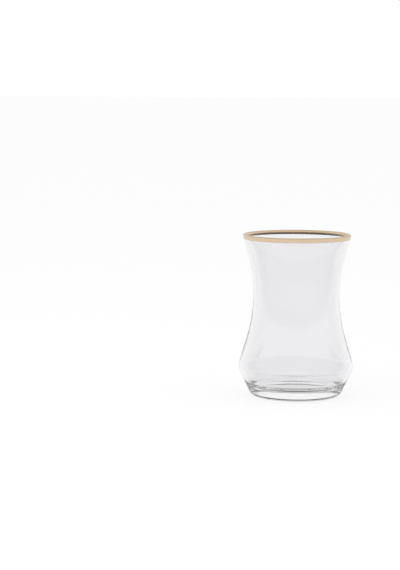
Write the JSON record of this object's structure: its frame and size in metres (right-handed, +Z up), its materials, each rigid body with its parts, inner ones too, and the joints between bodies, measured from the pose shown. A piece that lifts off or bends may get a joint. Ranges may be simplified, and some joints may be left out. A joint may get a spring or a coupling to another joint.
{
  "type": "turkish tea glass",
  "caption": "Empty waisted tea glass of clear glass with a thick base, an angled low belly, a flared lip and a thin gold band on the lip.",
  "frame": {"origin": "centre of the underside, on the surface that the glass stands on", "axes": "+Z up the glass's own axis; X and Y are equal, because the glass is round"},
  "size_m": [0.0624, 0.0624, 0.0881],
  "materials": {
    "clear_glass": "clear, smooth, fire polished",
    "gold_band": "pale fired-on gold, satin"
  },
  "bodies": {
    "root": {"glass_body": "clear_glass", "gold_rim": "gold_band"}
  },
  "joints": []
}
